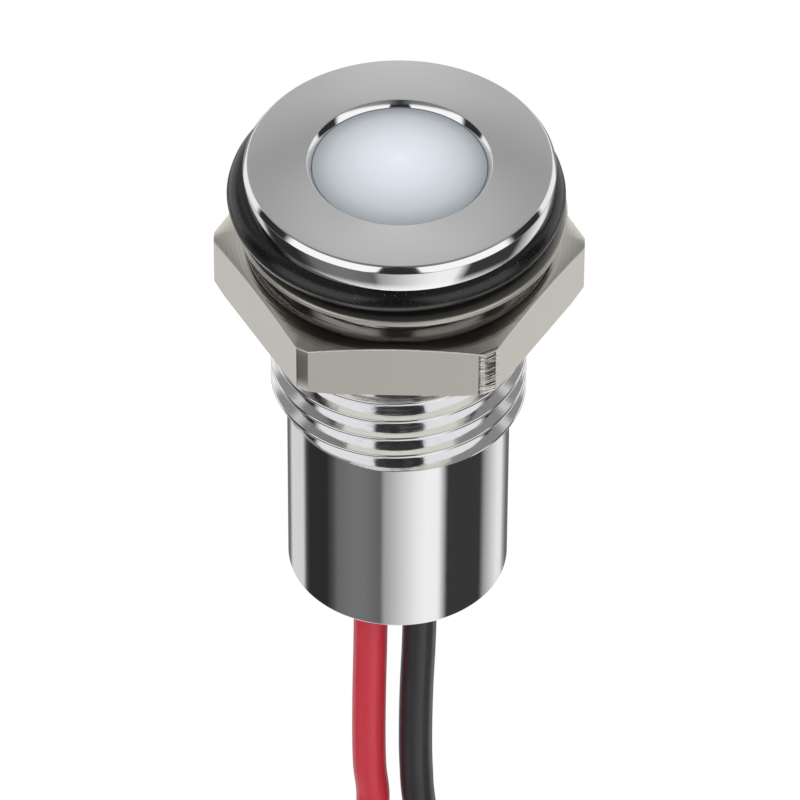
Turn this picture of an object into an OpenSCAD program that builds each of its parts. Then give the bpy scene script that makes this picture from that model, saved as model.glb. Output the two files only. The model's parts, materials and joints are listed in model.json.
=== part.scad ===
// Panel pilot light for an 8 mm hole: a turned, chrome-plated brass body with an M8 x 0.75 barrel,
// a domed diffuser over a 3 mm LED, a sealing ring, a washer, a thin nut and two flying leads.
// Millimetres, +Z out of the panel. The origin is on the axis, at the underside of the flange,
// which is where the panel's front face comes.

/* [Housing] */
// Diameter of the flange that shows in front of the panel
flange_d = 9.6; // [9.2:0.1:10.4]
// Thickness of the flange
flange_t = 0.9; // [0.8:0.05:1.2]
// Outer diameter of the threaded barrel
barrel_d = 8; // [7.8:0.05:8.2]
// Length of the threaded barrel behind the flange
barrel_len = 8.5; // [7.5:0.1:9.5]
// Diameter of the plain tail behind the thread
tail_d = 7; // [6.8:0.05:7.2]
// Length of the housing behind the flange
body_len = 15.8; // [15.4:0.1:16.5]
// Diameter of the rear bore
rear_bore_d = 6; // [5.8:0.05:6.2]
// Diameter of the hole that the lens looks out of
lens_hole_d = 5.4; // [5:0.05:5.5]
// Diameter of the countersink's mouth at the face
countersink_d = 5.68; // [5.6:0.02:6]
// Depth of the countersink
countersink_depth = 0.2; // [0.15:0.05:0.4]

/* [Panel fittings] */
// Section diameter of the sealing ring
ring_section = 0.94; // [0.9:0.01:0.99]
// Room between the barrel and the slack sealing ring, on the radius
ring_room = 0.25; // [0.22:0.01:0.3]
// How far the slack ring has slipped off centre
ring_slip = 0.2; // [0:0.01:0.21]
// Direction in which the ring has slipped
ring_slip_angle = 120; // [0:5:355]
// Outer diameter of the washer
washer_d = 10.2; // [10:0.1:11]
// Clearance of the washer on the barrel, on the radius
washer_clearance = 0.1; // [0.1:0.05:0.3]
// How far the washer hangs off centre
washer_shift = 0.06; // [0:0.01:0.09]
// Thickness of the washer
washer_t = 0.2; // [0.15:0.05:0.3]
// Open gap between the washer and the nut
washer_lead = 0.9; // [0.6:0.1:2]
// Width of the nut across its flats
nut_af = 10.1; // [9.5:0.1:10.2]
// Diameter to which the nut's corners are turned
nut_corner_d = 11.44; // [11.3:0.02:11.5]
// Diameter of the nut's flat bearing face
nut_face_d = 9.6; // [9:0.1:9.6]
// Thickness of the nut
nut_t = 2; // [1.8:0.1:2.4]
// Angle at which the nut stands on the thread
nut_angle = -0.9; // [-30:0.1:30]

/* [Lens and LED] */
// Thickness of the lens's plug between the flange's shoulder and the foot of the dome
lens_plug_len = 1.3; // [1:0.1:1.4]
// Height of the lens's dome
dome_h = 0.35; // [0.3:0.05:0.6]
// Thickness of the lens's rear rim
lens_rim_t = 0.6; // [0.4:0.1:0.8]
// Diameter of the LED
led_d = 3; // [2.8:0.1:3.2]
// Diameter of the LED's rim
led_rim_d = 3.8; // [3.6:0.1:4]
// Height of the LED over all
led_h = 5.3; // [5:0.1:5.6]
// Distance between the LED's two legs
led_pitch = 2.54; // [2.4:0.02:2.6]

/* [Leads] */
// Diameter of the insulated leads
lead_d = 1.1; // [0.9:0.05:1.1]
// Diameter of the bare tinned tips
tip_d = 0.5; // [0.4:0.05:0.6]
// Length of the bare tinned tips
tip_len = 5; // [4:0.5:8]
// Radius of the folds of each hank
fold_r = 3.35; // [3.3:0.05:3.5]
// Length of the straight runs of each hank
run_len = 16.6; // [16.6:0.2:18]
// How far the tie draws the runs in at the waist
waist_pinch = 1.1; // [0.8:0.1:1.3]

/* [Hidden] */

// Clearance of a pressed or glued piece, on the radius
snug = 0.02;
// Running clearance of the nut on the barrel, on the radius
thread_clearance = 0.03;
// Clearance of the lens's plug in its hole, on the radius
plug_clearance = 0.03;
// Gap between the flange and the sealing ring at rest
ring_gap = 0.01;
// Gap between the sealing ring and the washer at rest
washer_gap = 0.07;
// Room inside the heat-shrink sleeves, on the radius
sleeve_clearance = 0.08;
// Turned edges of the housing
face_chamfer_r = 0.12;
face_chamfer_z = 0.2;
barrel_chamfer = 0.05;
tail_chamfer = 0.03;

// The fittings follow each other down the barrel
ring_d = barrel_d + 2 * ring_room + 2 * ring_section;
washer_top_z = -ring_gap - ring_section - washer_gap;
nut_top_z = washer_top_z - washer_t - washer_lead;
nut_bottom_z = nut_top_z - nut_t;
nut_cone_angle = 13.5;
nut_edge_r = 0.3;
nut_edge_z = 0.1;

// The lens seats against the shoulder where the lens hole meets the rear bore
lens_top_z = flange_t - countersink_depth;
shoulder_z = lens_top_z - lens_plug_len;
lens_back_z = shoulder_z - lens_rim_t;

// The LED stands in a bush whose front is a small reflector
led_gap = 0.3;
led_rim_t = 1;
led_rim_flat = 0.2;
led_base_z = lens_back_z - led_gap - led_h;
holder_back_z = led_base_z + led_rim_t;
reflector_d = 5.2;
reflector_depth = 1.6;
leg_w = 0.45;
anode_len = 1.7;
cathode_len = 2.4;
anode_z = led_base_z - anode_len;
cathode_z = led_base_z - cathode_len;

// The series resistor lies beside the anode leg
resistor_d = 1.7;
resistor_len = 3.2;
resistor_waist_d = 1.5;
resistor_lead_d = 0.44;
resistor_x = -led_pitch / 2;
resistor_y = 0.45;
resistor_cap = 0.7;
resistor_ease = 0.15;
resistor_top_z = anode_z - 0.5;
resistor_back_z = resistor_top_z - resistor_len;

// The leads leave the resin side by side, the red one on the left
red_x = -0.8;
black_x = 0.75;
conductor_d = 0.48;
red_start_z = -13.8;
black_start_z = -10;
red_lap_z = resistor_back_z - 0.7;
black_lap_z = cathode_z + 1;

// Soldered lap joints
anode_lap = 0.8;
bead_end = 0.1;
anode_bead_d = 1.24;
red_bead_d = 1.4;
black_bead_d = 1.2;

// The resin closes the back of the housing
resin_recess = 0.2;
resin_depth = 1.7;
resin_bite = 0.7;
resin_back_z = resin_recess - body_len;
resin_top_z = resin_back_z + resin_depth;

// Heat-shrink sleeves over the two joints
sleeve_wall = 0.15;
red_sleeve_at = [-1, 0.2];
red_sleeve_d = sleeve_bore(red_sleeve_at, red_x);
red_sleeve_top_z = resistor_back_z - 0.2;
red_sleeve_back_z = resin_top_z - resin_bite;
black_sleeve_at = [0.9, 0];
black_sleeve_d = sleeve_bore(black_sleeve_at, black_x);
black_sleeve_top_z = black_lap_z + 0.8;
black_sleeve_back_z = -10.8;

// Each lead is folded into a hank of its own, one in front of the axis and one behind it
layer = 1.15;
hank_top_z = -37;
hank_bottom_z = hank_top_z - run_len;
hank_mid_z = (hank_top_z + hank_bottom_z) / 2;
hank_turns = 3;
hank_half_w = fold_r + lead_d / 2;
hank_gap = 0.05;
hank_t = hank_turns * layer + lead_d;
tip_chamfer = 0.1;
tie_w = 2.4;
tie_t = 0.4;
tie_tail_len = 5;
tie_tail_w = 0.9;
tie_clearance = 0.08;
tie_corner = 0.15;

// Bore of a sleeve centred at a point that takes in the lead at x
function sleeve_bore(at, x) = 2 * (norm([at[0] - x, at[1]]) + lead_d / 2 + sleeve_clearance);

// Centre lines of the leads, from the joint inside the housing to the hank
red_route = [
    [-0.8, 0, -13.8], [-0.8, 0, -16], [-0.85, 0, -18.6], [-0.87, 0, -20.3], [-0.9, 0, -22.3],
    [-0.91, 0, -24.4], [-0.88, 0, -26], [-0.77, 0, -27.6], [-0.95, -0.2, -30],
    [-1.7, -0.52, -32.6], [-2.8, -0.6, -35]
];
black_route = [
    [0.75, 0, -10], [0.75, 0, -12.5], [0.75, 0, -15], [0.75, 0, -17], [0.73, 0, -18.6],
    [0.7, 0, -20.3], [0.64, 0, -22.3], [0.62, 0, -24.4], [0.65, 0, -26], [0.75, 0, -27.6],
    [1.1, 0.2, -30], [1.9, 0.52, -32.6], [2.85, 0.6, -35]
];
// Centre lines of the ends that come out of the hanks
red_end_route = [[-3.35, -4.025, -54.8], [-3.35, -4.025, -57.4], [-3.35, -4.025, -60]];
black_end_route = [[3.35, 4.025, -54.8], [3.35, 4.025, -57.4], [3.35, 4.025, -60]];

STEEL = [0.8, 0.8, 0.81];
RUBBER = [0.06, 0.06, 0.06];
NICKEL = [0.66, 0.64, 0.61];
DIFFUSER = [0.93, 0.95, 0.98];
LED = [0.82, 0.85, 0.9];
TINNED = [0.75, 0.76, 0.78];
SOLDER = [0.62, 0.63, 0.66];
WHITE_NYLON = [0.88, 0.88, 0.86];
RESISTOR = [0.78, 0.68, 0.5];
RESIN = [0.12, 0.12, 0.13];
RED_PVC = [0.72, 0.08, 0.14];
BLACK_PVC = [0.1, 0.1, 0.11];
SLEEVE = [0.14, 0.14, 0.15];

$fn = 96;

// Unit vector of v
function unit(v) = v / norm(v);

// Direction of a route at point i
function heading(route, i) =
    unit(route[min(i + 1, len(route) - 1)] - route[max(i - 1, 0)]);

// One ring of n points of radius r round point i of a route
function ring(route, i, r, n) =
    let (t = heading(route, i), u = unit([1, 0, 0] - t * t[0]), v = cross(t, u))
    [for (k = [0:n - 1]) route[i] + r * (cos(360 * k / n) * u + sin(360 * k / n) * v)];

// Closed tube of n sides swept along a route
module swept_tube(route, r, n = 8) {
    last = len(route) - 1;
    rings = [for (i = [0:last]) each ring(route, i, r, n)];
    walls = [
        for (i = [0:last - 1]) for (k = [0:n - 1])
        [i * n + k, i * n + (k + 1) % n, (i + 1) * n + (k + 1) % n, (i + 1) * n + k]
    ];
    front = [for (k = [n - 1:-1:0]) k];
    back = [for (k = [0:n - 1]) last * n + k];
    polyhedron(rings, concat([front], walls, [back]));
}

// Cylinder from z_top down to z_bottom
module post(d, z_top, z_bottom) {
    translate([0, 0, z_bottom]) cylinder(d = d, h = z_top - z_bottom);
}

// Tube from z_top down to z_bottom
module bush(d_out, d_in, z_top, z_bottom) {
    translate([0, 0, z_bottom]) linear_extrude(z_top - z_bottom) difference() {
        circle(d = d_out);
        circle(d = d_in);
    }
}

// Square LED leg from its base down to z_bottom
module leg(x, z_bottom) {
    translate([x - leg_w / 2, -leg_w / 2, z_bottom]) cube([leg_w, leg_w, led_base_z - z_bottom]);
}

// Barrel-shaped bead of solder
module solder_bead(d, z_top, z_bottom) {
    taper = d / 4;
    rotate_extrude() polygon([
        [0, z_top], [d / 2 - taper, z_top], [d / 2, z_top - taper], [d / 2, z_bottom + taper],
        [d / 2 - taper, z_bottom], [0, z_bottom]
    ]);
}

// Rectangle with round corners
module rounded_rectangle(w, h, r) {
    square([w - 2 * r, h], center = true);
    square([w, h - 2 * r], center = true);
    for (x = [-1, 1], y = [-1, 1]) translate([x * (w / 2 - r), y * (h / 2 - r)]) circle(r);
}

// One turned piece: flange, threaded barrel at its crest diameter, and tail, bored from both ends
module housing() {
    color(STEEL) rotate_extrude() polygon([
        [countersink_d / 2, flange_t],
        [lens_hole_d / 2, lens_top_z],
        [lens_hole_d / 2, shoulder_z],
        [rear_bore_d / 2, shoulder_z],
        [rear_bore_d / 2, -body_len],
        [tail_d / 2 - tail_chamfer, -body_len],
        [tail_d / 2, -body_len + tail_chamfer],
        [tail_d / 2, -barrel_len],
        [barrel_d / 2 - barrel_chamfer, -barrel_len],
        [barrel_d / 2, -barrel_len + barrel_chamfer],
        [barrel_d / 2, 0],
        [flange_d / 2, 0],
        [flange_d / 2, flange_t - face_chamfer_z],
        [flange_d / 2 - face_chamfer_r, flange_t]
    ]);
}

// Rubber ring that seals against the panel, lying a little off centre
module sealing_ring() {
    color(RUBBER) rotate([0, 0, ring_slip_angle])
        translate([ring_slip, 0, -ring_gap - ring_section / 2]) rotate_extrude()
        translate([(ring_d - ring_section) / 2, 0]) circle(d = ring_section, $fn = 48);
}

// Thin flat washer under the sealing ring
module flat_washer() {
    color(NICKEL) translate([washer_shift, 0, 0])
        bush(washer_d, barrel_d + 2 * washer_clearance, washer_top_z, washer_top_z - washer_t);
}

// Thin hexagon nut, coned on its bearing side and turned over its corners
module hex_nut() {
    corner_r = nut_corner_d / 2;
    face_r = nut_face_d / 2;
    cone_drop = (corner_r - face_r) * tan(nut_cone_angle);
    color(NICKEL) rotate([0, 0, nut_angle]) difference() {
        intersection() {
            translate([0, 0, nut_bottom_z]) cylinder(d = nut_af / cos(30), h = nut_t, $fn = 6);
            rotate_extrude() polygon([
                [0, nut_top_z], [face_r, nut_top_z], [corner_r, nut_top_z - cone_drop],
                [corner_r, nut_bottom_z + nut_edge_z], [corner_r - nut_edge_r, nut_bottom_z],
                [0, nut_bottom_z]
            ]);
        }
        post(barrel_d + 2 * thread_clearance, nut_top_z + 1, nut_bottom_z - 1);
    }
}

// White diffuser: a plug with a shallow dome in front and a rim behind the shoulder
module diffuser_lens() {
    plug_r = lens_hole_d / 2 - plug_clearance;
    dome_r = (pow(plug_r, 2) + pow(dome_h, 2)) / (2 * dome_h);
    color(DIFFUSER) union() {
        intersection() {
            post(2 * plug_r, lens_top_z + 1, shoulder_z);
            translate([0, 0, lens_top_z + dome_h - dome_r]) sphere(dome_r);
        }
        post(rear_bore_d - 4 * snug, shoulder_z, lens_back_z);
    }
}

// Nylon bush that holds the LED and reflects its light forwards
module led_holder() {
    bore = led_d / 2 + plug_clearance;
    outer = rear_bore_d / 2 - snug;
    color(WHITE_NYLON) rotate_extrude() polygon([
        [reflector_d / 2, lens_back_z], [outer, lens_back_z], [outer, holder_back_z],
        [bore, holder_back_z], [bore, lens_back_z - reflector_depth]
    ]);
}

// Epoxy body of the LED, with its domed tip and its rim, which has a flat on the cathode side
module led_body() {
    tip_z = led_base_z + led_h;
    color(LED) difference() {
        union() {
            post(led_d, tip_z - led_d / 2, holder_back_z);
            translate([0, 0, tip_z - led_d / 2]) sphere(d = led_d);
            post(led_rim_d, holder_back_z, led_base_z);
        }
        translate([led_rim_d / 2 - led_rim_flat, -led_d, led_base_z - 1])
            cube([1, 2 * led_d, led_rim_t + 1]);
    }
}

module led_anode_leg() {
    color(TINNED) leg(-led_pitch / 2, anode_z);
}

module led_cathode_leg() {
    color(TINNED) leg(led_pitch / 2, cathode_z);
}

// Moulded resistor, with the fuller ends of its caps
module resistor_body() {
    r = resistor_d / 2;
    waist_r = resistor_waist_d / 2;
    top = resistor_top_z;
    back = resistor_back_z;
    color(RESISTOR) translate([resistor_x, resistor_y, 0]) rotate_extrude() polygon([
        [0, top], [r - resistor_ease, top],
        [r, top - resistor_ease], [r, top - resistor_cap],
        [waist_r, top - resistor_cap - resistor_ease],
        [waist_r, back + resistor_cap + resistor_ease],
        [r, back + resistor_cap], [r, back + resistor_ease],
        [r - resistor_ease, back], [0, back]
    ]);
}

module resistor_front_lead() {
    color(TINNED) translate([resistor_x, resistor_y, 0])
        post(resistor_lead_d, anode_z + anode_lap, resistor_top_z);
}

module resistor_rear_lead() {
    color(TINNED) translate([resistor_x, resistor_y, 0])
        post(resistor_lead_d, resistor_back_z, red_start_z + bead_end);
}

// Solder between the anode leg and the resistor's front lead
module anode_solder() {
    color(SOLDER) difference() {
        translate([resistor_x, resistor_y / 2, 0])
            solder_bead(anode_bead_d, anode_z + anode_lap, anode_z - bead_end);
        led_anode_leg();
        resistor_front_lead();
    }
}

// Solder between the resistor's rear lead and the red lead's conductor
module red_solder() {
    color(SOLDER) difference() {
        translate([(resistor_x + red_x) / 2, resistor_y / 2, 0])
            solder_bead(red_bead_d, red_lap_z, red_start_z + bead_end);
        resistor_rear_lead();
        red_conductor();
    }
}

// Solder between the cathode leg and the black lead's conductor
module black_solder() {
    color(SOLDER) difference() {
        translate([(led_pitch / 2 + black_x) / 2, 0, 0])
            solder_bead(black_bead_d, black_lap_z + bead_end, cathode_z - bead_end);
        led_cathode_leg();
        black_conductor();
    }
}

// Stripped inner end of the red lead
module red_conductor() {
    color(TINNED) translate([red_x, 0, 0]) post(conductor_d, red_lap_z, red_start_z);
}

// Stripped inner end of the black lead
module black_conductor() {
    color(TINNED) translate([black_x, 0, 0]) post(conductor_d, black_lap_z, black_start_z);
}

module red_sleeve() {
    color(SLEEVE) translate([red_sleeve_at[0], red_sleeve_at[1], 0])
        bush(red_sleeve_d + 2 * sleeve_wall, red_sleeve_d, red_sleeve_top_z, red_sleeve_back_z);
}

module black_sleeve() {
    color(SLEEVE) translate([black_sleeve_at[0], black_sleeve_at[1], 0])
        bush(black_sleeve_d + 2 * sleeve_wall, black_sleeve_d, black_sleeve_top_z,
            black_sleeve_back_z);
}

// Resin plug that seals the back and holds the leads
module potting_resin() {
    color(RESIN) difference() {
        post(rear_bore_d - 2 * snug, resin_top_z, resin_back_z);
        for (x = [red_x, black_x]) translate([x, 0, 0])
            post(lead_d + 2 * snug, resin_top_z + 1, resin_back_z - 1);
        translate([red_sleeve_at[0], red_sleeve_at[1], 0])
            post(red_sleeve_d + 2 * sleeve_wall + 2 * snug, resin_top_z + 1, red_sleeve_back_z);
    }
}

module red_lead() {
    color(RED_PVC) swept_tube(red_route, lead_d / 2);
}

module black_lead() {
    color(BLACK_PVC) swept_tube(black_route, lead_d / 2);
}

// Half width of a hank at the height z, from its middle to the outside of a run
function hank_edge(z) = hank_half_w - waist_pinch * pow(cos(180 * (z - hank_mid_z) / run_len), 2);

// Outline of a hank, with round ends and a drawn-in waist
module hank_outline() {
    steps = 8;
    down = [for (k = [0:steps]) hank_top_z - run_len * k / steps];
    polygon(concat(
        [for (z = down) [hank_edge(z), z]],
        [for (a = [-15:-15:-165]) [hank_half_w * cos(a), hank_bottom_z + hank_half_w * sin(a)]],
        [for (k = [steps:-1:0]) [-hank_edge(down[k]), down[k]]],
        [for (a = [165:-15:15]) [hank_half_w * cos(a), hank_top_z + hank_half_w * sin(a)]]
    ));
}

// One hank, a slab that starts at y_front
module hank(y_front) {
    translate([0, y_front + hank_t, 0]) rotate([90, 0, 0]) linear_extrude(hank_t) hank_outline();
}

module red_hank() {
    color(RED_PVC) hank(-hank_gap / 2 - hank_t);
}

module black_hank() {
    color(BLACK_PVC) hank(hank_gap / 2);
}

// Twist tie round the waist of both hanks, its twisted tail laid down the back
module hank_tie() {
    inner_w = 2 * (hank_edge(hank_mid_z + tie_w / 2) + tie_clearance);
    inner_t = 2 * hank_t + hank_gap + 2 * tie_clearance;
    color(BLACK_PVC) union() {
        translate([0, 0, hank_mid_z - tie_w / 2]) linear_extrude(tie_w) difference() {
            rounded_rectangle(inner_w + 2 * tie_t, inner_t + 2 * tie_t, tie_corner + tie_t);
            rounded_rectangle(inner_w, inner_t, tie_corner);
        }
        translate([-tie_tail_w / 2, (inner_t + tie_t) / 2, hank_mid_z - tie_tail_len])
            cube([tie_tail_w, tie_tail_w, tie_tail_len]);
    }
}

module red_lead_end() {
    color(RED_PVC) swept_tube(red_end_route, lead_d / 2);
}

module black_lead_end() {
    color(BLACK_PVC) swept_tube(black_end_route, lead_d / 2);
}

// Bare tinned tip with an eased end, which starts at the end of a route
module lead_tip(route) {
    start = route[len(route) - 1];
    color(TINNED) translate(start) rotate_extrude() polygon([
        [0, 0], [tip_d / 2, 0], [tip_d / 2, tip_chamfer - tip_len],
        [tip_d / 2 - tip_chamfer, -tip_len], [0, -tip_len]
    ]);
}

module red_lead_tip() {
    lead_tip(red_end_route);
}

module black_lead_tip() {
    lead_tip(black_end_route);
}

housing();
sealing_ring();
flat_washer();
hex_nut();
diffuser_lens();
led_holder();
led_body();
led_anode_leg();
led_cathode_leg();
resistor_body();
resistor_front_lead();
resistor_rear_lead();
anode_solder();
red_solder();
black_solder();
red_conductor();
black_conductor();
red_sleeve();
black_sleeve();
potting_resin();
red_lead();
black_lead();
red_hank();
black_hank();
hank_tie();
red_lead_end();
black_lead_end();
red_lead_tip();
black_lead_tip();
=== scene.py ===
"""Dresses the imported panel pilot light: housing, fittings, glowing lens, leads and a small studio."""

import json
import math

import bpy
from mathutils import Matrix, Vector


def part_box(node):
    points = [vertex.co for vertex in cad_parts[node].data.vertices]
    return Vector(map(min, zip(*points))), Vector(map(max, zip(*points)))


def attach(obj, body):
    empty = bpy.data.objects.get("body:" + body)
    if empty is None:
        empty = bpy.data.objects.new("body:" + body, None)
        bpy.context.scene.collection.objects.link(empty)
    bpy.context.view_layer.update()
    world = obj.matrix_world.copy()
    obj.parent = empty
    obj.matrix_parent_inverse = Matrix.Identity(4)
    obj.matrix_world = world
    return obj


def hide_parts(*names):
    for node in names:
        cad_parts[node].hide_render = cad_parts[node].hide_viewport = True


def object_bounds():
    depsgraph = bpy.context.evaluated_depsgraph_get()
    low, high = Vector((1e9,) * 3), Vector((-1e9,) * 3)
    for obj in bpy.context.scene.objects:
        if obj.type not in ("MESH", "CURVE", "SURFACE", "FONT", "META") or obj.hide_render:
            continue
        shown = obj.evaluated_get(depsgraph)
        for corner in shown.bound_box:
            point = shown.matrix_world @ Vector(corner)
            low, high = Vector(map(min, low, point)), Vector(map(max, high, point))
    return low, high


bl_info = {
    "name": "Panel pilot light",
    "version": (1, 0, 0),
    "blender": (4, 5, 0),
    "location": "View3D > Sidebar > Pilot light",
    "description": "Finished pieces, leads and studio for a panel pilot light",
    "category": "Object",
}

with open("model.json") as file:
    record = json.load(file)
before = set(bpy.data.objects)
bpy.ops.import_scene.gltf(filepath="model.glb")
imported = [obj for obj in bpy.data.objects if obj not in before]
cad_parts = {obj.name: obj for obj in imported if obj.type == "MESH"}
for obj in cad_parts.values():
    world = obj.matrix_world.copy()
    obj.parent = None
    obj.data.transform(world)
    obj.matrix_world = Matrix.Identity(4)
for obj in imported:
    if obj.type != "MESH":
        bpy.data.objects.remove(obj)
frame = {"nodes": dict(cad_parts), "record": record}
CAD_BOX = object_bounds()

MM = 0.001
WELD = 2e-6
ROUND_STEPS = 160
FULL_TURN = 2 * math.pi

RECORD = frame["record"]
MOUNTS = {mount["name"]: mount for mount in RECORD["mounts"]}
BARREL_R = MOUNTS["panel_barrel"]["dims"]["r_mm"] * MM
BARREL_END = -MOUNTS["panel_barrel"]["dims"]["length_mm"] * MM

HOUSING_LOW, HOUSING_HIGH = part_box("housing")
RING_LOW, RING_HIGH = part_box("sealing_ring")
WASHER_LOW, WASHER_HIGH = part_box("flat_washer")
NUT_LOW, NUT_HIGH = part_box("hex_nut")
LENS_LOW, LENS_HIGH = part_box("diffuser_lens")
RESIN_LOW, RESIN_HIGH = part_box("potting_resin")

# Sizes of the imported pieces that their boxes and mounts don't give
TAIL_R = 3.5 * MM
TAIL_EDGE = 0.03 * MM
BARREL_EDGE = 0.05 * MM
WINDOW_R = 2.7 * MM
MOUTH_R = 2.84 * MM
MOUTH_DEPTH = 0.2 * MM
FACE_CHAMFER_R = 0.12 * MM
FACE_CHAMFER_Z = 0.2 * MM
WASHER_CLEARANCE = 0.1 * MM
THREAD_CLEARANCE = 0.03 * MM
NUT_HALF_FLATS = 5.05 * MM
NUT_CORNER_R = 5.72 * MM
NUT_FACE_R = 4.8 * MM
NUT_CONE = math.radians(13.5)
NUT_ANGLE = math.radians(-0.9)
NUT_EDGE_R = 0.3 * MM
NUT_EDGE_Z = 0.1 * MM
PLUG_R = 2.67 * MM
DOME_H = 0.35 * MM
LENS_RIM_T = 0.6 * MM

# The leads' routes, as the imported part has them, in metres
RED_ROUTE = [
    (-0.0008, 0, -0.0138), (-0.0008, 0, -0.016), (-0.00085, 0, -0.0186), (-0.00087, 0, -0.0203),
    (-0.0009, 0, -0.0223), (-0.00091, 0, -0.0244), (-0.00088, 0, -0.026), (-0.00077, 0, -0.0276),
    (-0.00095, -0.0002, -0.030), (-0.0017, -0.00052, -0.0326), (-0.0028, -0.0006, -0.035),
]
BLACK_ROUTE = [
    (0.00075, 0, -0.010), (0.00075, 0, -0.0125), (0.00075, 0, -0.015), (0.00075, 0, -0.017),
    (0.00073, 0, -0.0186), (0.0007, 0, -0.0203), (0.00064, 0, -0.0223), (0.00062, 0, -0.0244),
    (0.00065, 0, -0.026), (0.00075, 0, -0.0276), (0.0011, 0.0002, -0.030),
    (0.0019, 0.00052, -0.0326), (0.00285, 0.0006, -0.035),
]


# Sizes and colours that a user may change

class HousingSettings(bpy.types.PropertyGroup):
    pitch: bpy.props.FloatProperty(
        name="Thread pitch", description="Rise of the thread in one turn",
        default=0.75 * MM, unit="LENGTH")
    crest: bpy.props.FloatProperty(
        name="Crest width", description="Width of the thread's flat crest",
        default=0.094 * MM, unit="LENGTH")
    crest_height: bpy.props.FloatProperty(
        name="Crest height at the front", description="Height at which a crest passes the front",
        default=-5.565 * MM, unit="LENGTH")
    root_radius: bpy.props.FloatProperty(
        name="Root radius", description="Radius of the thread at its root",
        default=3.54 * MM, unit="LENGTH")
    edge: bpy.props.FloatProperty(
        name="Edge radius", description="Rounding of the turned edges",
        default=0.025 * MM, unit="LENGTH")
    plate: bpy.props.FloatVectorProperty(
        name="Plating", description="Colour of the bright plating",
        default=(0.80, 0.80, 0.81), subtype="COLOR", size=3)


class FittingSettings(bpy.types.PropertyGroup):
    rubber: bpy.props.FloatVectorProperty(
        name="Rubber", description="Colour of the sealing ring",
        default=(0.004, 0.004, 0.0045), subtype="COLOR", size=3)
    nickel: bpy.props.FloatVectorProperty(
        name="Nickel", description="Colour of the nut and washer",
        default=(0.66, 0.637, 0.575), subtype="COLOR", size=3)
    edge: bpy.props.FloatProperty(
        name="Edge radius", description="Rounding of the nut's edges",
        default=0.03 * MM, unit="LENGTH")


class LensSettings(bpy.types.PropertyGroup):
    plastic: bpy.props.FloatVectorProperty(
        name="Plastic", description="Colour of the diffuser unlit",
        default=(0.28, 0.30, 0.32), subtype="COLOR", size=3)
    glow: bpy.props.FloatProperty(
        name="Glow", description="Strength of the light that the lens gives off",
        default=0.9, min=0.0, max=4.0)
    tint: bpy.props.FloatVectorProperty(
        name="Tint", description="Colour of the light",
        default=(0.86, 0.93, 1.0), subtype="COLOR", size=3)


class LeadSettings(bpy.types.PropertyGroup):
    diameter: bpy.props.FloatProperty(
        name="Lead diameter", description="Diameter over the insulation",
        default=1.1 * MM, unit="LENGTH")
    fold: bpy.props.FloatProperty(
        name="Fold radius", description="Radius of the hank's folds",
        default=3.35 * MM, unit="LENGTH")
    run: bpy.props.FloatProperty(
        name="Run length", description="Length of the hank's straight runs",
        default=16.6 * MM, unit="LENGTH")
    hank_top: bpy.props.FloatProperty(
        name="Hank top", description="Height at which the upper folds begin",
        default=-37 * MM, unit="LENGTH")
    waist: bpy.props.FloatProperty(
        name="Waist", description="How far the tie draws the runs in",
        default=1.1 * MM, unit="LENGTH")
    layer: bpy.props.FloatProperty(
        name="Layer", description="Distance between one turn and the next",
        default=1.15 * MM, unit="LENGTH")
    turns: bpy.props.IntProperty(
        name="Turns", description="Full turns in each hank", default=3, min=1, max=8)
    red: bpy.props.FloatVectorProperty(
        name="Red", description="Colour of the red insulation",
        default=(0.60, 0.022, 0.045), subtype="COLOR", size=3)
    black: bpy.props.FloatVectorProperty(
        name="Black", description="Colour of the black insulation",
        default=(0.018, 0.018, 0.020), subtype="COLOR", size=3)


class StudioSettings(bpy.types.PropertyGroup):
    elevation: bpy.props.FloatProperty(
        name="View elevation", description="Angle of the camera above the flange",
        default=math.radians(44.107), subtype="ANGLE")
    roll: bpy.props.FloatProperty(
        name="View roll", description="Lean of the camera", default=math.radians(0.322),
        subtype="ANGLE")
    distance: bpy.props.FloatProperty(
        name="View distance", description="Distance from the camera to the point it aims at",
        default=0.23842, unit="LENGTH")
    focal: bpy.props.FloatProperty(
        name="Focal length", description="Focal length in millimetres", default=341.3)
    aim: bpy.props.FloatVectorProperty(
        name="Aim", description="Point on the part that the camera aims at",
        default=(0.05 * MM, 0, -9.213 * MM), subtype="TRANSLATION", size=3)
    floor_drop: bpy.props.FloatProperty(
        name="Floor drop", description="Height of the floor below the part",
        default=0.02, unit="LENGTH")


# Modelling helpers

def pick_nothing():
    """Deselects every object and leaves object mode."""
    if bpy.context.object and bpy.context.object.mode != "OBJECT":
        bpy.ops.object.mode_set(mode="OBJECT")
    bpy.ops.object.select_all(action="DESELECT")


def pick(piece):
    """Selects one object and makes it active."""
    pick_nothing()
    piece.select_set(True)
    bpy.context.view_layer.objects.active = piece


def name_piece(name):
    """Names the active object and its mesh, and returns it."""
    piece = bpy.context.object
    piece.name = name
    piece.data.name = name
    return piece


def settle(piece):
    """Puts a piece's place into its mesh and its origin at the world's."""
    pick(piece)
    bpy.ops.object.transform_apply(location=True, rotation=True, scale=True)
    return piece


def weld():
    """Merges doubles and turns all faces outwards, in edit mode."""
    bpy.ops.mesh.select_all(action="SELECT")
    bpy.ops.mesh.remove_doubles(threshold=WELD)
    bpy.ops.mesh.normals_make_consistent(inside=False)


def weld_piece(piece):
    """Welds a whole piece from object mode."""
    pick(piece)
    bpy.ops.object.mode_set(mode="EDIT")
    weld()
    bpy.ops.object.mode_set(mode="OBJECT")


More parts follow.
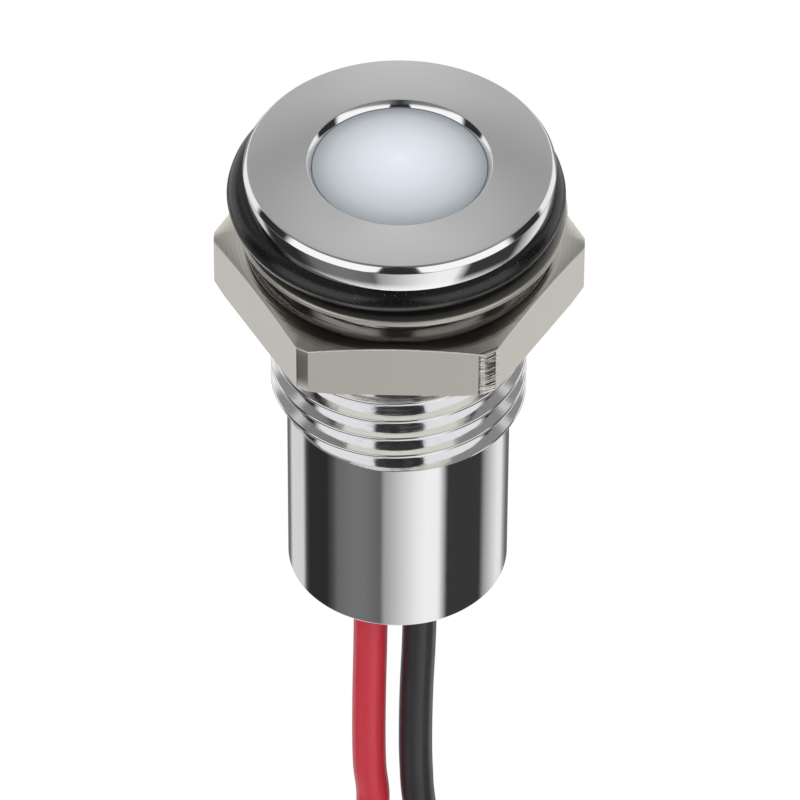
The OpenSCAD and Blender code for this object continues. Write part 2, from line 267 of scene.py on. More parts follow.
def outline(name, points):
    """An edge chain through (radius, height) points in the XZ plane, left in edit mode."""
    pick_nothing()
    first = Vector((points[0][0], 0, points[0][1]))
    bpy.ops.mesh.primitive_plane_add(size=MM, location=first)
    piece = settle(name_piece(name))
    bpy.ops.object.mode_set(mode="EDIT")
    bpy.ops.mesh.select_mode(type="VERT")
    bpy.ops.mesh.select_all(action="SELECT")
    bpy.ops.mesh.merge(type="CENTER")
    for (r0, z0), (r1, z1) in zip(points, points[1:]):
        bpy.ops.mesh.extrude_region_move(
            TRANSFORM_OT_translate={"value": (r1 - r0, 0, z1 - z0)})
    bpy.ops.mesh.select_all(action="SELECT")
    return piece


def lathe(name, points, steps=ROUND_STEPS, closed=True):
    """A turned piece: the outline spun round Z. A closed outline joins its last point to its first."""
    piece = outline(name, points + [points[0]] if closed else points)
    bpy.ops.mesh.spin(steps=steps, angle=FULL_TURN, center=(0, 0, 0), axis=(0, 0, 1))
    weld()
    bpy.ops.object.mode_set(mode="OBJECT")
    return piece


def arc(center, radius, start, end, steps):
    """Points (r, z) of an arc in the XZ plane, angles in degrees from +X towards +Z."""
    angles = [math.radians(start + (end - start) * k / steps) for k in range(steps + 1)]
    return [(center[0] + radius * math.cos(a), center[1] + radius * math.sin(a)) for a in angles]


def apply(piece, kind, **settings):
    """Adds a modifier with these settings and applies it."""
    pick(piece)
    modifier = piece.modifiers.new(kind.title(), kind)
    for name, value in settings.items():
        setattr(modifier, name, value)
    bpy.ops.object.modifier_apply(modifier=modifier.name)
    return piece


def cut(piece, tool, operation):
    """A boolean of the piece with a tool, which is used up."""
    apply(piece, "BOOLEAN", operation=operation, object=tool, solver="EXACT")
    bpy.data.objects.remove(tool)
    return piece


def smooth(piece, angle=30):
    """Smooth shading that stays sharp over the given angle."""
    pick(piece)
    bpy.ops.object.shade_smooth_by_angle(angle=math.radians(angle))
    return apply(piece, "WEIGHTED_NORMAL", keep_sharp=True)


# Material helpers

def material(name, base, metallic=0.0, roughness=0.5, **sockets):
    """A Principled material; extra sockets are given by their names with underscores."""
    made = bpy.data.materials.new(name)
    made.use_nodes = True
    shader = made.node_tree.nodes["Principled BSDF"]
    shader.inputs["Base Color"].default_value = (*base, 1)
    shader.inputs["Metallic"].default_value = metallic
    shader.inputs["Roughness"].default_value = roughness
    for socket, value in sockets.items():
        shader.inputs[socket.replace("_", " ")].default_value = value
    return made


def add_node(tree, kind, settings=None, **inputs):
    """Adds a node, sets its own settings, and sets or links its inputs by name or number."""
    node = tree.nodes.new(kind)
    for name, value in (settings or {}).items():
        setattr(node, name, value)
    for name, value in inputs.items():
        key = int(name[1:]) if name[1:].isdigit() else name.replace("_", " ")
        socket = node.inputs[key]
        if isinstance(value, bpy.types.NodeSocket):
            tree.links.new(value, socket)
        else:
            socket.default_value = value
    return node


def maths(tree, operation, *values, clamp=False):
    """The result of a Math node on numbers or sockets."""
    node = add_node(tree, "ShaderNodeMath", {"operation": operation, "use_clamp": clamp},
                    **{f"i{k}": value for k, value in enumerate(values)})
    return node.outputs[0]


def ramp(tree, factor, stops, interpolation="LINEAR"):
    """Colour of a ramp whose stops are (position, grey or colour)."""
    node = add_node(tree, "ShaderNodeValToRGB", Fac=factor)
    band = node.color_ramp
    band.interpolation = interpolation
    while len(band.elements) < len(stops):
        band.elements.new(0.5)
    for element, (position, colour) in zip(band.elements, stops):
        element.position = position
        element.color = grey(colour) if isinstance(colour, (int, float)) else (*colour, 1)
    return node.outputs["Color"]


def mix(tree, factor, first, second, kind="MIX"):
    """Colour mixed from the first to the second as the factor goes from 0 to 1."""
    node = add_node(tree, "ShaderNodeMix", {"data_type": "RGBA", "blend_type": kind},
                    i0=factor, i6=first, i7=second)
    return node.outputs[2]


def rise(tree, value, start, end):
    """A value that goes from 0 to 1 as another goes from start to end."""
    node = add_node(tree, "ShaderNodeMapRange", Value=value, From_Min=start, From_Max=end)
    return node.outputs[0]


def blend(tree, factor, first, second):
    """A value that goes from the first to the second as the factor goes from 0 to 1."""
    node = add_node(tree, "ShaderNodeMix", {"data_type": "FLOAT"}, i0=factor, i2=first, i3=second)
    return node.outputs[0]


def grey(level):
    """An even grey as a colour."""
    return (level, level, level, 1)


def object_place(tree):
    """Object coordinates of the point, and their x, y and z."""
    place = add_node(tree, "ShaderNodeTexCoord").outputs["Object"]
    split = add_node(tree, "ShaderNodeSeparateXYZ", Vector=place)
    return place, split.outputs


def axis_distance(tree):
    """Distance of the point from the Z axis, in metres."""
    _, (x, y, _) = object_place(tree)
    return maths(tree, "SQRT", maths(tree, "ADD", maths(tree, "MULTIPLY", x, x),
                                     maths(tree, "MULTIPLY", y, y)))


def noise(tree, place, size, detail=2.0, stretch=(1, 1, 1)):
    """Noise whose grains are about the given size in metres."""
    scaled = add_node(tree, "ShaderNodeMapping", Vector=place, Scale=stretch).outputs[0]
    return add_node(tree, "ShaderNodeTexNoise", Vector=scaled, Scale=1 / size,
                    Detail=detail).outputs["Fac"]


def bump(tree, height, depth, strength=1.0):
    """Links a bump of the given depth in metres to the shader."""
    node = add_node(tree, "ShaderNodeBump", Height=height, Distance=depth, Strength=strength)
    tree.links.new(node.outputs[0], tree.nodes["Principled BSDF"].inputs["Normal"])


def vary(tree, socket, factor, low, high):
    """Links a socket to a value that runs from low to high with the factor."""
    node = add_node(tree, "ShaderNodeMapRange", Value=factor, To_Min=low, To_Max=high)
    tree.links.new(node.outputs[0], tree.nodes["Principled BSDF"].inputs[socket])


def dress(piece, made):
    """Gives a piece one material."""
    piece.data.materials.clear()
    piece.data.materials.append(made)


# Materials

def turned_rings(tree, size):
    """Noise that changes only with the distance from the axis, as a lathe tool leaves it."""
    return add_node(tree, "ShaderNodeTexNoise", {"noise_dimensions": "1D"},
                    W=axis_distance(tree), Scale=1 / size, Detail=2.0).outputs["Fac"]


def bright_plate(base):
    """Bright nickel-chrome over turned brass; the face keeps the rings of its facing cut."""
    made = material("bright_plate", base, metallic=1.0, roughness=0.08)
    tree = made.node_tree
    shader = tree.nodes["Principled BSDF"]
    place, (_, _, z) = object_place(tree)
    face = rise(tree, z, HOUSING_HIGH.z - 0.012 * MM, HOUSING_HIGH.z - 0.004 * MM)
    polish = blend(tree, noise(tree, place, 1.2 * MM), 0.05, 0.10)
    tree.links.new(blend(tree, face, polish, 0.36), shader.inputs["Roughness"])
    tree.links.new(blend(tree, face, 0.0, 0.85), shader.inputs["Anisotropic"])
    around = add_node(tree, "ShaderNodeTangent", {"direction_type": "RADIAL", "axis": "Z"})
    tree.links.new(around.outputs[0], shader.inputs["Tangent"])
    waves = noise(tree, place, 0.35 * MM)
    pits = maths(tree, "MULTIPLY", noise(tree, place, 0.06 * MM, detail=3.0), 0.5)
    patchy = rise(tree, noise(tree, place, 0.5 * MM), 0.35, 0.65)
    scores = maths(tree, "MULTIPLY", turned_rings(tree, 0.035 * MM), patchy)
    thread = rise(tree, z, BARREL_END, BARREL_END + 0.01 * MM)
    below_flange = rise(tree, z, 0.0, -0.01 * MM)
    scores = maths(tree, "MULTIPLY", scores, maths(tree, "MULTIPLY", thread, below_flange))
    relief = maths(tree, "ADD", maths(tree, "ADD", waves, pits), maths(tree, "MULTIPLY", scores, 3.0))
    bump(tree, relief, 0.0007 * MM)
    return made


def dull_nickel(name, base, smoothest, roughest):
    """Dull nickel with turned rings, a burr under the cone's edge, chatter on a corner, and painted
    shade that darkens the washer's underside and the nut's top face in the gap between them.
    """
    made = material(name, base, metallic=1.0, roughness=smoothest)
    tree = made.node_tree
    place, (x, y, z) = object_place(tree)
    crown = rise(tree, z, NUT_HIGH.z - 0.24 * MM, NUT_HIGH.z - 0.2 * MM)
    vary(tree, "Roughness", noise(tree, place, 0.8 * MM), smoothest, roughest)
    rings = maths(tree, "MULTIPLY", turned_rings(tree, 0.05 * MM), crown)
    cone_slope = 0.24
    cone = maths(tree, "SUBTRACT", NUT_HIGH.z + NUT_FACE_R * cone_slope,
                 maths(tree, "MULTIPLY", axis_distance(tree), cone_slope))
    drop = maths(tree, "SUBTRACT", cone, z)
    burr = maths(tree, "MULTIPLY", rise(tree, drop, 0.004 * MM, 0.012 * MM),
                 rise(tree, drop, 0.055 * MM, 0.035 * MM))
    crumbs = maths(tree, "MULTIPLY", noise(tree, place, 0.045 * MM, detail=3.0), burr)
    relief = maths(tree, "ADD", rings, maths(tree, "MULTIPLY", crumbs, 9.0))
    corners = rise(tree, axis_distance(tree), NUT_CORNER_R - 0.08 * MM, NUT_CORNER_R - 0.05 * MM)
    right_front = maths(tree, "MULTIPLY", rise(tree, x, 1.0 * MM, 2.0 * MM),
                        rise(tree, y, -1.0 * MM, -2.0 * MM))
    chatter = maths(tree, "MULTIPLY", noise(tree, place, 0.09 * MM, stretch=(0.15, 0.15, 1.0)),
                    maths(tree, "MULTIPLY", corners, right_front))
    relief = maths(tree, "ADD", relief, maths(tree, "MULTIPLY", chatter, 8.0))
    bump(tree, relief, 0.003 * MM)
    # Painted shade: the base colour darkens on the washer's underside and on the nut's top face, in the
    # gap where the washer shades them.
    below_washer = rise(tree, z, WASHER_LOW.z + 0.03 * MM, WASHER_LOW.z + 0.01 * MM)
    nut_crown = maths(tree, "MULTIPLY", rise(tree, z, NUT_HIGH.z - 0.03 * MM, NUT_HIGH.z - 0.01 * MM),
                      rise(tree, axis_distance(tree), NUT_FACE_R + 0.06 * MM, NUT_FACE_R))
    in_nut = rise(tree, z, NUT_HIGH.z + 0.1 * MM, NUT_HIGH.z)
    gap_shade = maths(tree, "MULTIPLY", below_washer, blend(tree, in_nut, 0.8, 0.0))
    gap_shade = maths(tree, "MAXIMUM", gap_shade, maths(tree, "MULTIPLY", nut_crown, 0.5))
    darker = tuple(0.05 * value for value in base)
    tree.links.new(mix(tree, gap_shade, (*base, 1), (*darker, 1)),
                   tree.nodes["Principled BSDF"].inputs["Base Color"])
    return made


def black_rubber(base):
    """Moulded nitrile rubber with specks of dust."""
    made = material("black_rubber", base, roughness=0.24)
    tree = made.node_tree
    place, _ = object_place(tree)
    specks = ramp(tree, noise(tree, place, 0.05 * MM, detail=1.0),
                  [(0.70, base), (0.76, (0.10, 0.10, 0.10))])
    tree.links.new(specks, tree.nodes["Principled BSDF"].inputs["Base Color"])
    bump(tree, noise(tree, place, 0.12 * MM), 0.004 * MM)
    return made


def lit_diffuser(settings):
    """White diffuser, brightest over the lamp behind it."""
    made = material("lit_diffuser", settings.plastic, roughness=0.3)
    tree = made.node_tree
    radius = maths(tree, "DIVIDE", axis_distance(tree), LENS_HIGH.x)
    glow = ramp(tree, radius, [(0.0, 0.69), (0.39, 0.55), (0.61, 0.41), (0.73, 0.31), (0.80, 0.21),
                               (0.88, 0.13)])
    tinted = mix(tree, 1.0, glow, (*settings.tint, 1), "MULTIPLY")
    shader = tree.nodes["Principled BSDF"]
    tree.links.new(tinted, shader.inputs["Emission Color"])
    shader.inputs["Emission Strength"].default_value = settings.glow
    return made


def wire_jacket(name, base):
    """Extruded PVC insulation."""
    made = material(name, base, roughness=0.32)
    tree = made.node_tree
    place, _ = object_place(tree)
    vary(tree, "Roughness", noise(tree, place, 0.6 * MM), 0.26, 0.40)
    bump(tree, noise(tree, place, 0.4 * MM, stretch=(1, 1, 0.3)), 0.006 * MM)
    return made


def tinned_copper():
    """Tinned copper, dull and a little uneven."""
    made = material("tinned_copper", (0.70, 0.71, 0.73), metallic=1.0, roughness=0.28)
    tree = made.node_tree
    place, _ = object_place(tree)
    bump(tree, noise(tree, place, 0.15 * MM), 0.004 * MM)
    return made


def moulded(name, base, roughness, grain, depth):
    """A plain moulded or cast finish with a grain."""
    made = material(name, base, roughness=roughness)
    tree = made.node_tree
    place, _ = object_place(tree)
    bump(tree, noise(tree, place, grain), depth)
    return made


def dress_inside():
    """Finishes for the pieces that the housing hides."""
    tinned = tinned_copper()
    solder = material("solder", (0.62, 0.63, 0.66), metallic=1.0, roughness=0.35)
    bump(solder.node_tree, noise(solder.node_tree, object_place(solder.node_tree)[0], 0.3 * MM),
         0.01 * MM)
    epoxy = material("clear_epoxy", (0.90, 0.93, 0.96), roughness=0.08, Transmission_Weight=0.9)
    finishes = {
        "led_holder": moulded("white_nylon", (0.82, 0.82, 0.80), 0.5, 0.2 * MM, 0.004 * MM),
        "led_body": epoxy,
        "resistor_body": moulded("lacquer", (0.62, 0.47, 0.27), 0.3, 0.3 * MM, 0.01 * MM),
        "potting_resin": moulded("black_resin", (0.02, 0.02, 0.022), 0.25, 0.8 * MM, 0.05 * MM),
    }
    sleeve = moulded("shrink_sleeve", (0.03, 0.03, 0.032), 0.5, 0.3 * MM, 0.01 * MM)
    finishes.update({name: sleeve for name in ("red_sleeve", "black_sleeve")})
    finishes.update({name: solder for name in ("anode_solder", "red_solder", "black_solder")})
    finishes.update({name: tinned for name in (
        "led_anode_leg", "led_cathode_leg", "resistor_front_lead", "resistor_rear_lead",
        "red_conductor", "black_conductor", "red_lead_tip", "black_lead_tip")})
    for name, made in finishes.items():
        dress(frame["nodes"][name], made)


# Housing

def thread_ridge(settings):
    """The thread's ridge: its section carried up the helix, a little past both ends."""
    pitch, crest = settings.pitch, settings.crest / 2
    root = settings.root_radius
    slope = math.tan(math.radians(30))
    flank = (BARREL_R - root) * slope
    foot = root - 0.09 * MM
    half = 0.49 * pitch
    valley = pitch / 2 - crest - flank
    section = [
        (foot, -half), (root + 0.002 * MM, -half), (root + 0.02 * MM, -half + 0.6 * valley),
        *[(r, -crest - (BARREL_R - r) * slope) for r in (
            root + 0.05 * MM, root + 0.07 * MM, BARREL_R - 0.03 * MM, BARREL_R - 0.018 * MM)],
        (BARREL_R - 0.004 * MM, -crest * 0.9), (BARREL_R, -crest * 0.6),
    ]
    section += [(r, -z) for r, z in reversed(section)]
    start = settings.crest_height + pitch / 4
    turns_down = math.ceil((start - BARREL_END) / pitch) + 1
    lowest = start - turns_down * pitch
    turns = turns_down + math.ceil(-start / pitch) + 1
    ridge = outline("thread_ridge", [(r, z + lowest) for r, z in section + [section[0]]])
    weld()
    bpy.ops.object.mode_set(mode="OBJECT")
    apply(ridge, "SCREW", axis="Z", angle=FULL_TURN, screw_offset=pitch, iterations=turns,
          steps=ROUND_STEPS, render_steps=ROUND_STEPS, use_merge_vertices=True,
          merge_threshold=WELD)
    bpy.ops.object.mode_set(mode="EDIT")
    bpy.ops.mesh.select_all(action="DESELECT")
    bpy.ops.mesh.select_mode(type="EDGE")
    bpy.ops.mesh.select_non_manifold()
    bpy.ops.mesh.edge_face_add()
    weld()
    bpy.ops.object.mode_set(mode="OBJECT")
    return ridge


def housing(settings):
    """Turned housing with a true thread, a countersunk window and a bored back."""
    low, high = HOUSING_LOW.z, HOUSING_HIGH.z
    flange_r = HOUSING_HIGH.x
    shoulder, bore_r = LENS_LOW.z + LENS_RIM_T, RESIN_HIGH.x + 0.02 * MM
    root = settings.root_radius + 0.004 * MM
    fillet = 0.08 * MM
    fillet_r = flange_r - FACE_CHAMFER_R - math.tan(math.radians(29.5)) * fillet
    body = lathe("housing_finish", [
        (MOUTH_R, high), (WINDOW_R, high - MOUTH_DEPTH), (WINDOW_R, shoulder), (bore_r, shoulder),
        (bore_r, low), (TAIL_R - TAIL_EDGE, low), (TAIL_R, low + TAIL_EDGE), (TAIL_R, BARREL_END),
        (root, BARREL_END), (root, 0), (flange_r, 0), (flange_r, high - FACE_CHAMFER_Z),
        *arc((fillet_r, high - fillet), fillet, 31, 90, 4)])
    apply(body, "BEVEL", width=settings.edge, segments=3, limit_method="ANGLE",
          angle_limit=math.radians(25))
    inner = bore_r + 0.2 * MM
    blank = lathe("thread_blank", [
        (inner, 0.3 * MM), (BARREL_R, 0.3 * MM), (BARREL_R, BARREL_END + BARREL_EDGE),
        (BARREL_R - BARREL_EDGE, BARREL_END), (inner, BARREL_END)])
    ridge = cut(thread_ridge(settings), blank, "INTERSECT")
    cut(body, ridge, "UNION")
    weld_piece(body)
    return smooth(body, 28)


# Fittings

def sealing_ring():
    """Rubber ring of round section, with the faint line where its mould parted."""
    section = (RING_HIGH.z - RING_LOW.z) / 2
    middle = (RING_HIGH + RING_LOW) / 2
    big = (RING_HIGH.x - RING_LOW.x) / 2 - section
    line = 0.012 * MM
    ring = lathe("sealing_ring_finish", [
        (big + (section + (line if a in (0, 180) else 0)) * math.cos(math.radians(a)),
         section * math.sin(math.radians(a))) for a in range(0, 360, 6)])
    ring.location = middle
    settle(ring)
    return smooth(ring, 60)


def flat_washer():
    """Stamped washer with its edges rolled over on one side."""
    r = (WASHER_HIGH.x - WASHER_LOW.x) / 2
    bore = BARREL_R + WASHER_CLEARANCE
    top, low = WASHER_HIGH.z, WASHER_LOW.z
    roll, burr = 0.06 * MM, 0.02 * MM
    washer = lathe("flat_washer_finish", [
        *arc((r - roll, top - roll), roll, 90, 0, 5), (r, low + burr), (r - burr, low), (bore, low),
        *arc((bore + roll, top - roll), roll, 180, 90, 4)])
    washer.location = ((WASHER_HIGH.x + WASHER_LOW.x) / 2, 0, 0)
    settle(washer)
    return smooth(washer, 40)


def hex_nut(settings):
    """Hexagon blank turned over its corners and coned on its bearing side."""
    top, low = NUT_HIGH.z, NUT_LOW.z
    bore, bevel = BARREL_R + THREAD_CLEARANCE, 0.3 * MM
    drop = (NUT_CORNER_R - NUT_FACE_R) * math.tan(NUT_CONE)
    pick_nothing()
    bpy.ops.mesh.primitive_cylinder_add(
        vertices=6, radius=NUT_HALF_FLATS / math.cos(math.radians(30)), depth=top - low,
        location=(0, 0, (top + low) / 2), rotation=(0, 0, math.radians(90)))
    nut = settle(name_piece("hex_nut_finish"))
    blank = lathe("nut_blank", [
        (bore + 0.25 * MM, top), (NUT_FACE_R, top), (NUT_CORNER_R, top - drop),
        (NUT_CORNER_R, low + NUT_EDGE_Z), (NUT_CORNER_R - NUT_EDGE_R, low), (bore + bevel, low),
        (bore, low + bevel), (bore, top - 0.25 * MM)])
    cut(nut, blank, "INTERSECT")
    apply(nut, "BEVEL", width=settings.edge, segments=3, limit_method="ANGLE",
          angle_limit=math.radians(12))
    nut.rotation_euler.z = NUT_ANGLE
    settle(nut)
    weld_piece(nut)
    return smooth(nut, 25)


def diffuser_lens():
    """Shallow dome on a plug, with the rim that seats behind the shoulder."""
    rim, low, high = LENS_HIGH.x, LENS_LOW.z, LENS_HIGH.z
    shoulder = low + LENS_RIM_T
    dome_r = (PLUG_R ** 2 + DOME_H ** 2) / (2 * DOME_H)
    edge = math.degrees(math.asin(PLUG_R / dome_r))
    dome = arc((0, high - dome_r), dome_r, 90 - edge, 90, 16)
    lens = lathe("diffuser_lens_finish", [
        (0, low), (rim, low), (rim, shoulder), (PLUG_R, shoulder), *dome], closed=False)
    return smooth(lens, 40)


# Leads

def ease(t):
    """Smooth step from 0 to 1."""
    return (1 - math.cos(math.pi * t)) / 2


def hank_points(settings, side, way):
    """Points down, round and up the hank: side is the run it starts on, way is where layers go."""
    top, run = settings.hank_top, settings.run
    middle, low = top - run / 2, top - run

    def run_x(z):
        return settings.fold - settings.waist * math.cos(math.pi * (z - middle) / run) ** 2

    def depth(layers):
        return way * settings.layer * (0.5 + layers)

    points = []
    run_steps, fold_steps = 12, 16
    for turn in range(settings.turns + 1):
        for k in range(run_steps + 1):
            z = top - run * k / run_steps
            points.append((side * run_x(z), depth(turn), z))
        if turn == settings.turns:
            break
        for k in range(1, fold_steps):
            a = math.pi * k / fold_steps
            points.append((side * settings.fold * math.cos(a), depth(turn + ease(k / fold_steps)),
                           low - settings.fold * math.sin(a)))
        for k in range(run_steps + 1):
            z = low + run * k / run_steps
            points.append((-side * run_x(z), depth(turn + 1), z))
        for k in range(1, fold_steps):
            a = math.pi * k / fold_steps
            points.append((-side * settings.fold * math.cos(a), depth(turn + 1),
                           top + settings.fold * math.sin(a)))
    return points


def smooth_route(route, steps=6):
    """Points on a smooth curve through a route's points."""
    knots = [Vector(p) for p in route]
    padded = [2 * knots[0] - knots[1], *knots, 2 * knots[-1] - knots[-2]]
    points = []
    for a, b, c, d in zip(padded, padded[1:], padded[2:], padded[3:]):
        for k in range(steps):
            t = k / steps
            points.append(0.5 * (2 * b + (c - a) * t + (2 * a - 5 * b + 4 * c - d) * t * t
                                 + (3 * b - a - 3 * c + d) * t ** 3))
    return points + [knots[-1]]


def lead(name, settings, route, side, way, tip):
    """One lead as a round curve, from its joint through its hank to its tip, and its length."""
    hank = hank_points(settings, side, way)
    end = Vector(hank[-1])
    tail_steps = 6
    tail = [(end.x, end.y, end.z + (tip.z - end.z) * k / tail_steps) for k in range(1, tail_steps + 1)]
    points = smooth_route([*route, hank[0]]) + [Vector(p) for p in hank[1:] + tail]
    curve = bpy.data.curves.new(name, "CURVE")
    curve.dimensions = "3D"
    curve.bevel_depth = settings.diameter / 2
    curve.bevel_resolution = 6
    curve.use_fill_caps = True
    spline = curve.splines.new("POLY")
    spline.points.add(len(points) - 1)
    for target, point in zip(spline.points, points):
        target.co = (*point, 1)
    spline.use_smooth = True
    piece = bpy.data.objects.new(name, curve)
    bpy.context.scene.collection.objects.link(piece)
    length = sum((b - a).length for a, b in zip(points, points[1:]))
    return piece, length


# Stage

def studio_floor(drop):
    """Plain pale floor under the hanging part. Metal sees the studio walls past it."""
    height = CAD_BOX[0][2] - drop
    pick_nothing()
    bpy.ops.mesh.primitive_plane_add(size=6, location=(0, 0, height))
    floor = settle(name_piece("floor"))
    made = bpy.data.materials.new("floor_paper")
    made.use_nodes = True
    tree = made.node_tree
    shader = tree.nodes["Principled BSDF"]
    shader.inputs["Base Color"].default_value = (0.9, 0.9, 0.9, 1)
    shader.inputs["Roughness"].default_value = 0.9
    glow = add_node(tree, "ShaderNodeEmission", Color=(1, 1, 1, 1), Strength=1.0)
    path = add_node(tree, "ShaderNodeLightPath")
    mixed = add_node(tree, "ShaderNodeMixShader", Fac=path.outputs["Is Camera Ray"])
    tree.links.new(shader.outputs[0], mixed.inputs[1])
    tree.links.new(glow.outputs[0], mixed.inputs[2])
    tree.links.new(mixed.outputs[0], tree.nodes["Material Output"].inputs["Surface"])
    dress(floor, made)
    floor.visible_glossy = False
    return floor


def degrees_stops(stops):
    """Ramp stops from azimuths in degrees, measured from the front towards +X."""
    return [((azimuth + 180) / 360, level) for azimuth, level in stops]


def studio_walls():
    """Pale walls, bright panels and dark flags round the part, as its metal sees them."""
    world = bpy.data.worlds.new("studio")
    bpy.context.scene.world = world
    world.use_nodes = True
    tree = world.node_tree
    tree.nodes.clear()
    direction = add_node(tree, "ShaderNodeTexCoord").outputs["Generated"]
    x, y, z = add_node(tree, "ShaderNodeSeparateXYZ", Vector=direction).outputs
    azimuth = maths(tree, "ARCTAN2", x, maths(tree, "MULTIPLY", y, -1.0))
    around = maths(tree, "ADD", maths(tree, "DIVIDE", azimuth, FULL_TURN), 0.5)
    below = ramp(tree, around, degrees_stops([
        (-180, 0.15), (-155, 0.17), (-145, 0.75), (-118, 0.75), (-112, 0.09), (-106, 0.03),
        (-80, 0.03), (-72, 0.08), (-66, 0.16), (-48, 0.20), (-36, 0.20), (-18, 0.14),
        (-14, 0.40), (-5, 0.55), (20, 0.97), (30, 1.07), (43, 1.05), (53, 0.045), (96, 0.045),
        (104, 0.40), (115, 0.67), (128, 0.92), (138, 0.90), (145, 0.42), (155, 0.15), (180, 0.15)]))
    panels = ramp(tree, around, degrees_stops([
        (-180, 0.50), (-168, 0.50), (-162, 1.0), (-108, 1.0), (-104, 0.03), (-80, 0.03),
        (-74, 1.15), (74, 1.15), (80, 0.03), (104, 0.03), (108, 1.0), (162, 1.0),
        (168, 0.50), (180, 0.50)]))
    flag_edge = maths(tree, "SUBTRACT", 0.283, maths(tree, "MULTIPLY", z, 0.247))
    beside = rise(tree, maths(tree, "SUBTRACT", maths(tree, "ABSOLUTE", x), flag_edge), 0.0, 0.02)
    in_front = rise(tree, y, 0.0, -0.05)
    flag = maths(tree, "MULTIPLY", maths(tree, "SUBTRACT", 1.0, beside), in_front)
    walls = mix(tree, flag, panels, grey(0.03))
    backwall = ramp(tree, maths(tree, "ABSOLUTE", x),
                    [(0.0, 0.62), (0.3, 0.62), (0.5, 0.30), (1.0, 0.30)])
    high_behind = maths(tree, "MULTIPLY", rise(tree, y, 0.25, 0.35), rise(tree, z, 0.40, 0.50))
    walls = mix(tree, high_behind, walls, backwall)
    across = maths(tree, "ADD", maths(tree, "MULTIPLY", x, 0.5), 0.5)
    overhead = ramp(tree, across,
                    [(0.30, 0.24), (0.40, 0.20), (0.50, 0.04), (0.60, 0.22), (0.70, 0.28)])
    behind = rise(tree, y, 0.20, 0.30)
    ceiling = maths(tree, "MAXIMUM", rise(tree, z, 0.82, 0.88), maths(
        tree, "MULTIPLY", rise(tree, z, 0.44, 0.52), maths(tree, "SUBTRACT", 1.0, behind)))
    walls = mix(tree, ceiling, walls, overhead)
    gap = maths(tree, "MULTIPLY", rise(tree, z, -0.57, -0.53), rise(tree, z, -0.31, -0.35))
    walls = mix(tree, gap, mix(tree, rise(tree, z, -0.55, -0.45), below, walls), grey(0.3))
    walls = mix(tree, rise(tree, z, -0.76, -0.86), walls, grey(1.2))
    path = add_node(tree, "ShaderNodeLightPath").outputs
    seen = mix(tree, path["Is Glossy Ray"], grey(0.62), walls)
    clear = maths(tree, "MAXIMUM", path["Is Camera Ray"], path["Is Transmission Ray"])
    backdrop = mix(tree, clear, seen, grey(1.0))
    light = add_node(tree, "ShaderNodeBackground", Color=backdrop, Strength=1.0)
    output = add_node(tree, "ShaderNodeOutputWorld")
    tree.links.new(light.outputs[0], output.inputs["Surface"])


def soft_lamp(name, place, size, power):
    """A large soft lamp that looks at the part."""
    light = bpy.data.lights.new(name, "AREA")
    light.shape = "SQUARE"
    light.size = size
    light.energy = power
    lamp = bpy.data.objects.new(name, light)
    bpy.context.scene.collection.objects.link(lamp)
    lamp.location = place
    lamp.rotation_euler = (-Vector(place)).to_track_quat("-Z", "Y").to_euler()
    lamp.visible_glossy = False
    return lamp


def camera(settings):
    """Long-lens camera in front of the part and above it."""
    forward = Vector((0, math.cos(settings.elevation), -math.sin(settings.elevation)))
    turned = forward.to_track_quat("-Z", "Y").to_matrix() @ Matrix.Rotation(settings.roll, 3, "Z")
    data = bpy.data.cameras.new("camera")
    data.lens = settings.focal
    data.sensor_width = 36
    data.clip_start = 0.01
    data.clip_end = 20
    placed = bpy.data.objects.new("camera", data)
    bpy.context.scene.collection.objects.link(placed)
    placed.matrix_world = Matrix.Translation(
        Vector(settings.aim) - settings.distance * forward) @ turned.to_4x4()
    bpy.context.scene.camera = placed


# Operators

class PILOT_OT_stage(bpy.types.Operator):
    """Sets up the camera, the floor, the walls and the lamps"""
    bl_idname = "pilot.stage"
    bl_label = "Stage"

    def execute(self, context):
        settings = context.scene.pilot_studio
        camera(settings)
        studio_floor(settings.floor_drop)
        studio_walls()
        soft_lamp("key_lamp", (-0.25, -0.35, 0.45), 0.3, 1.1)
        soft_lamp("fill_lamp", (0.4, -0.2, 0.25), 0.3, 0.5)
        context.scene.view_settings.view_transform = "Standard"
        return {"FINISHED"}


class PILOT_OT_leads(bpy.types.Operator):
    """Lays the two leads and dresses their tie"""
    bl_idname = "pilot.leads"
    bl_label = "Leads"

    def execute(self, context):
        settings = context.scene.pilot_leads
        red_jacket = wire_jacket("red_jacket", settings.red)
        black_jacket = wire_jacket("black_jacket", settings.black)
        tips = {colour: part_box(f"{colour}_lead_tip")[1] for colour in ("red", "black")}
        tie = frame["nodes"]["hank_tie"]
        red, red_length = lead("red_lead_cord", settings, RED_ROUTE, -1, -1, tips["red"])
        dress(red, red_jacket)
        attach(red, "lamp")
        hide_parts("red_lead", "red_hank", "red_lead_end")
        black, black_length = lead("black_lead_cord", settings, BLACK_ROUTE, 1, 1, tips["black"])
        dress(black, black_jacket)
        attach(black, "lamp")
        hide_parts("black_lead", "black_hank", "black_lead_end")
        dress(tie, black_jacket)
        print("lead lengths", round(red_length, 4), round(black_length, 4))
        return {"FINISHED"}


class PILOT_OT_housing(bpy.types.Operator):
    """Turns the housing and cuts its thread"""
    bl_idname = "pilot.housing"
    bl_label = "Housing"

    def execute(self, context):
        settings = context.scene.pilot_housing
        piece = housing(settings)
        dress(piece, bright_plate(settings.plate))
        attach(piece, "lamp")
        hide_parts("housing")
        return {"FINISHED"}


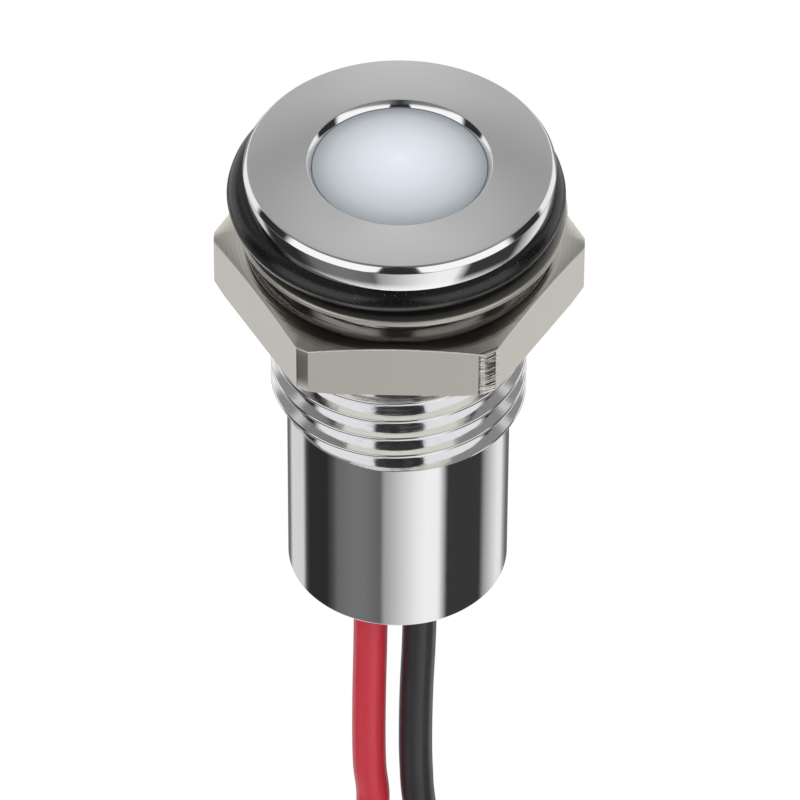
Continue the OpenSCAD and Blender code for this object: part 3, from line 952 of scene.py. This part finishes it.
class PILOT_OT_fittings(bpy.types.Operator):
    """Makes the sealing ring, the washer and the nut"""
    bl_idname = "pilot.fittings"
    bl_label = "Fittings"

    def execute(self, context):
        settings = context.scene.pilot_fittings
        ring = sealing_ring()
        dress(ring, black_rubber(settings.rubber))
        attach(ring, "lamp")
        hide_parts("sealing_ring")
        washer = flat_washer()
        dress(washer, dull_nickel("washer_nickel", settings.nickel, 0.42, 0.5))
        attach(washer, "washer")
        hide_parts("flat_washer")
        nut = hex_nut(settings)
        dress(nut, dull_nickel("dull_nickel", settings.nickel, 0.10, 0.16))
        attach(nut, "nut")
        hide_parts("hex_nut")
        return {"FINISHED"}


class PILOT_OT_lens(bpy.types.Operator):
    """Makes the glowing lens"""
    bl_idname = "pilot.lens"
    bl_label = "Lens"

    def execute(self, context):
        piece = diffuser_lens()
        dress(piece, lit_diffuser(context.scene.pilot_lens))
        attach(piece, "lamp")
        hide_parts("diffuser_lens")
        return {"FINISHED"}


class PILOT_OT_inside(bpy.types.Operator):
    """Finishes the pieces that the housing hides"""
    bl_idname = "pilot.inside"
    bl_label = "Inside"

    def execute(self, context):
        dress_inside()
        return {"FINISHED"}


class PILOT_PT_panel(bpy.types.Panel):
    """Lists the steps in the sidebar"""
    bl_idname = "PILOT_PT_panel"
    bl_label = "Pilot light"
    bl_space_type = "VIEW_3D"
    bl_region_type = "UI"
    bl_category = "Pilot light"

    def draw(self, context):
        for step in STEPS:
            self.layout.operator(step.bl_idname)


SETTINGS = {
    "pilot_housing": HousingSettings, "pilot_fittings": FittingSettings,
    "pilot_lens": LensSettings, "pilot_leads": LeadSettings, "pilot_studio": StudioSettings,
}
STEPS = [PILOT_OT_stage, PILOT_OT_leads, PILOT_OT_housing, PILOT_OT_fittings, PILOT_OT_lens,
         PILOT_OT_inside]


def register():
    for group in SETTINGS.values():
        bpy.utils.register_class(group)
    for name, group in SETTINGS.items():
        setattr(bpy.types.Scene, name, bpy.props.PointerProperty(type=group))
    for step in STEPS:
        bpy.utils.register_class(step)
    bpy.utils.register_class(PILOT_PT_panel)


def unregister():
    bpy.utils.unregister_class(PILOT_PT_panel)
    for step in reversed(STEPS):
        bpy.utils.unregister_class(step)
    for name in SETTINGS:
        delattr(bpy.types.Scene, name)
    for group in reversed(SETTINGS.values()):
        bpy.utils.unregister_class(group)


def main():
    register()
    bpy.ops.pilot.stage()
    bpy.ops.pilot.leads()
    bpy.ops.pilot.housing()
    bpy.ops.pilot.fittings()
    bpy.ops.pilot.lens()
    bpy.ops.pilot.inside()


if __name__ == "__main__":
    main()
